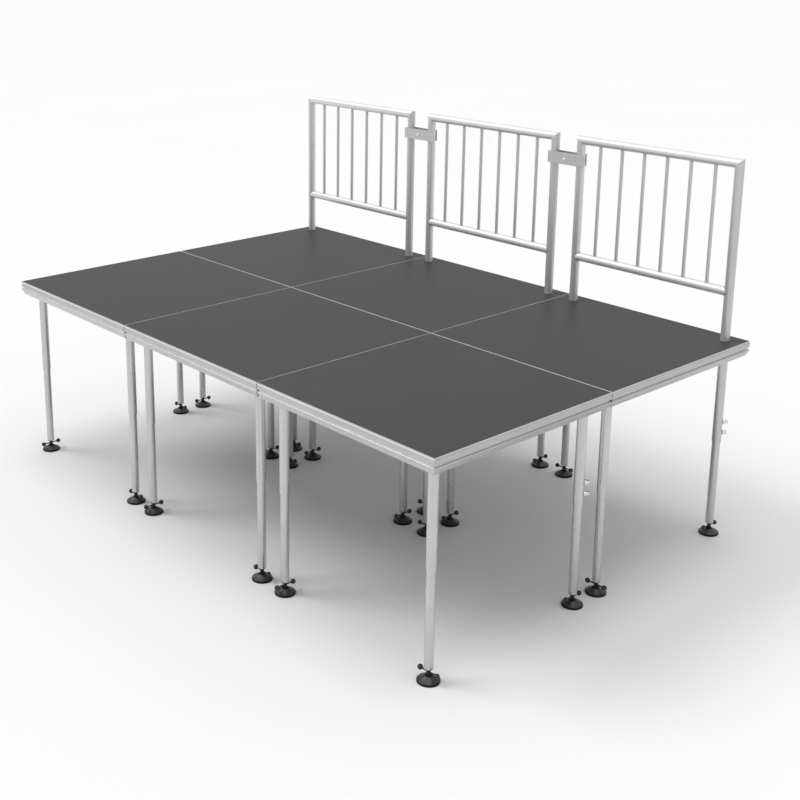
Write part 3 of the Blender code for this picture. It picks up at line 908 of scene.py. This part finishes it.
def clamp_bolt():
    """Domed hexagon bolt with a washer, along Y, threaded toward its tail."""
    washer = turned([
        (0.0, 0.0), (0.0098, 0.0), (0.0100, -0.0003), (0.0100, -0.0015), (0.0097, -0.0018),
        (0.0, -0.0018)], 48)
    head = prism(6, 0.0085, -0.0088, -0.0017)
    crown = turned([
        (0.0, -0.0090), (0.0050, -0.0090), (0.0066, -0.0084), (0.0072, -0.0078), (0.0, -0.0070)], 48)
    soften(head, 0.0006, 3)
    crest = 0.0050
    root = 0.0043
    pitch = 0.0015
    height = 0.0600
    thread = [(0.0049, height)]
    while height < 0.0860:
        thread.append((crest, height))
        thread.append((root, height + pitch / 2))
        height += pitch
    shank = turned([(0.0, -0.0020), (0.0049, -0.0020), *thread, (0.0042, 0.0872), (0.0, 0.0872)], 36)
    whole = gather([(piece, 0) for piece in (washer, head, crown, shank)])
    moved(whole, shift(y=-PLATE_OUTSIDE) @ turn(-90, "X"))
    return keep_shape(whole, [ZINC])


def wing_nut():
    """Hub and two flared wings, turning about Y."""
    hub = turned([
        (0.0053, 0.0), (0.0086, 0.0), (0.0090, 0.0005), (0.0084, 0.0112), (0.0078, 0.0118),
        (0.0053, 0.0118)], 48, closed=True)
    parts = [(moved(hub, turn(-90, "X")), 0)]
    for side in (-1, 1):
        bm = bmesh.new()
        outline = [
            (0.0070, 0.0012), (0.0090, 0.0012), (0.0160, 0.0050), (0.0218, 0.0080), (0.0229, 0.0100),
            (0.0229, 0.0148), (0.0220, 0.0158), (0.0172, 0.0158), (0.0140, 0.0120), (0.0100, 0.0080),
            (0.0070, 0.0074)]
        face = bm.faces.new([bm.verts.new((side * x, y, -WING_THICKNESS / 2)) for x, y in outline])
        grown = bmesh.ops.extrude_face_region(bm, geom=[face])
        lifted = [item for item in grown["geom"] if isinstance(item, bmesh.types.BMVert)]
        bmesh.ops.translate(bm, verts=lifted, vec=(0.0, 0.0, WING_THICKNESS))
        bmesh.ops.recalc_face_normals(bm, faces=bm.faces[:])
        soften(bm, 0.0008, 3, 60.0)
        parts.append((bm, 0))
    return keep_shape(gather(parts), [ZINC])


# Assembly

def column_x(index):
    """Middle of a column of decks, counted from the left."""
    return (index - 1) * MODULE


def row_y(index):
    """Middle of a row of decks, counted from the front."""
    return (index - 0.5) * MODULE


def dress_kept_nodes():
    """The solids whose shape is right keep it and get their finish."""
    for name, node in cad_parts.items():
        if name.endswith("_panel"):
            finish = DECK_FILM
        elif name.endswith("_brace"):
            finish = METAL_Y
        elif name.endswith("_link_key"):
            finish = KEY_ZINC
        else:
            continue
        for slot in node.material_slots:
            slot.material = finish


def build_decks():
    """Rims, sockets, tubes, screws and lower legs of all six decks."""
    rim = rim_bars()
    socket = corner_socket()
    tube = upper_tube()
    screws = clamp_screws()
    inner = inner_tube()
    plug = end_plug()
    screw_spindle = spindle()
    foot = foot_disc()
    handle = handle_bar()
    for row_index, row in enumerate(ROWS):
        for column_index, column in enumerate(COLUMNS):
            deck = f"{row}_{column}_deck"
            node = f"{deck}_frame"
            centre = shift(column_x(column_index), row_y(row_index), DECK_TOP)
            set_piece(f"{deck}_rim", rim, centre, "stage", [node])
            for (end, side), bearing in SCREW_BEARINGS.items():
                sx = 1 if side == "right" else -1
                sy = 1 if end == "back" else -1
                corner = centre @ shift(sx * LEG_OFFSET, sy * LEG_OFFSET)
                place = f"{deck}_{end}_{side}"
                quarter = {(-1, -1): 0, (1, -1): 90, (1, 1): 180, (-1, 1): 270}[(sx, sy)]
                set_piece(f"{place}_socket", socket, corner @ turn(quarter), "stage", [node])
                set_piece(f"{place}_upper_tube", tube, corner, "stage", [node])
                set_piece(f"{place}_clamp_screws", screws, corner @ turn(bearing), "stage",
                          [node])
                leg = f"{deck}_leg_{end}_{side}"
                ground = corner @ shift(z=-DECK_TOP)
                across = (end, side) in (("front", "right"), ("back", "left"))
                heading = ground if across else ground @ turn(90)
                set_piece(f"{leg}_inner_tube", inner, ground, leg, [leg])
                set_piece(f"{leg}_end_plug", plug, ground, leg, [leg])
                set_piece(f"{leg}_spindle", screw_spindle, ground, leg, [leg])
                set_piece(f"{leg}_foot", foot, ground, leg, [leg])
                set_piece(f"{leg}_handle", handle, heading, leg, [leg])


def build_guardrails():
    """The three guardrails and the two clamps that join them."""
    rail = rail_frame()
    for index, column in enumerate(COLUMNS):
        name = f"{column}_guardrail"
        centre = shift(column_x(index), RAIL_Y, DECK_TOP)
        set_piece(f"{name}_frame", rail, centre, name, [name])
    front = clamp_plate(FRONT_PLATE_LEFT, FRONT_PLATE_RIGHT, -PLATE_FACE, -1)
    back = clamp_plate(BACK_PLATE_HALF, BACK_PLATE_HALF, PLATE_FACE, 1)
    bolt = clamp_bolt()
    nut = wing_nut()
    for index, side in enumerate(("left", "right")):
        seam = shift(column_x(index) + MODULE / 2, RAIL_Y, DECK_TOP + CLAMP_RISE)
        clamp = f"{side}_clamp"
        carrier = "middle_guardrail"
        plate = f"{clamp}_back_plate"
        wings = f"{clamp}_wing_nut"
        behind = seam @ shift(y=PLATE_OUTSIDE)
        set_piece(f"{clamp}_front_bar", front, seam, carrier, [f"{clamp}_front_plate"])
        set_piece(f"{clamp}_back_bar", back, seam, plate, [plate])
        set_piece(f"{clamp}_hex_bolt", bolt, seam, carrier, [f"{clamp}_bolt"])
        set_piece(f"{clamp}_nut", nut, behind, wings, [wings])


def build_studio():
    """White floor, white surroundings and two lamps, as in the photograph."""
    floor = bmesh.new()
    bmesh.ops.create_grid(floor, x_segments=1, y_segments=1, size=150.0)
    moved(floor, shift(z=-0.0002))
    mesh = bpy.data.meshes.new("studio_floor")
    floor.to_mesh(mesh)
    floor.free()
    mesh.materials.append(floor_paint())
    ground = bpy.data.objects.new("studio_floor", mesh)
    bpy.context.scene.collection.objects.link(ground)

    world = bpy.data.worlds.new("studio")
    world.use_nodes = True
    world.node_tree.nodes["Background"].inputs["Color"].default_value = (1.0, 1.0, 1.0, 1.0)
    world.node_tree.nodes["Background"].inputs["Strength"].default_value = 0.71
    bpy.context.scene.world = world

    sun_light("key_light", bearing=220.0, height=50.0, spread=25.0, strength=1.16)
    sun_light("overhead_light", bearing=0.0, height=89.0, spread=30.0, strength=0.81)


def sun_light(name, bearing, height, spread, strength):
    """A far, wide lamp: it stands toward the bearing, and its angles are in degrees."""
    lamp = bpy.data.lights.new(name, "SUN")
    lamp.angle = math.radians(spread)
    lamp.energy = strength
    holder = bpy.data.objects.new(name, lamp)
    holder.rotation_euler = (math.radians(90.0 - height), 0.0, math.radians(bearing + 90.0))
    bpy.context.scene.collection.objects.link(holder)


def set_camera():
    """The photograph's own camera: a shifted lens, fitted to points of the stage."""
    lens = bpy.data.cameras.new("camera")
    lens.lens = 56.244
    lens.sensor_width = 36.0
    lens.shift_x = 0.1090
    lens.shift_y = -0.1767
    lens.clip_end = 500.0
    camera = bpy.data.objects.new("camera", lens)
    camera.location = (5.2147, -4.7632, 3.2707)
    camera.rotation_euler = (math.radians(75.514), 0.0, math.radians(49.693))
    bpy.context.scene.collection.objects.link(camera)
    bpy.context.scene.camera = camera


set_camera()
dress_kept_nodes()
build_decks()
build_guardrails()
build_studio()
bpy.context.scene.view_settings.view_transform = "Standard"
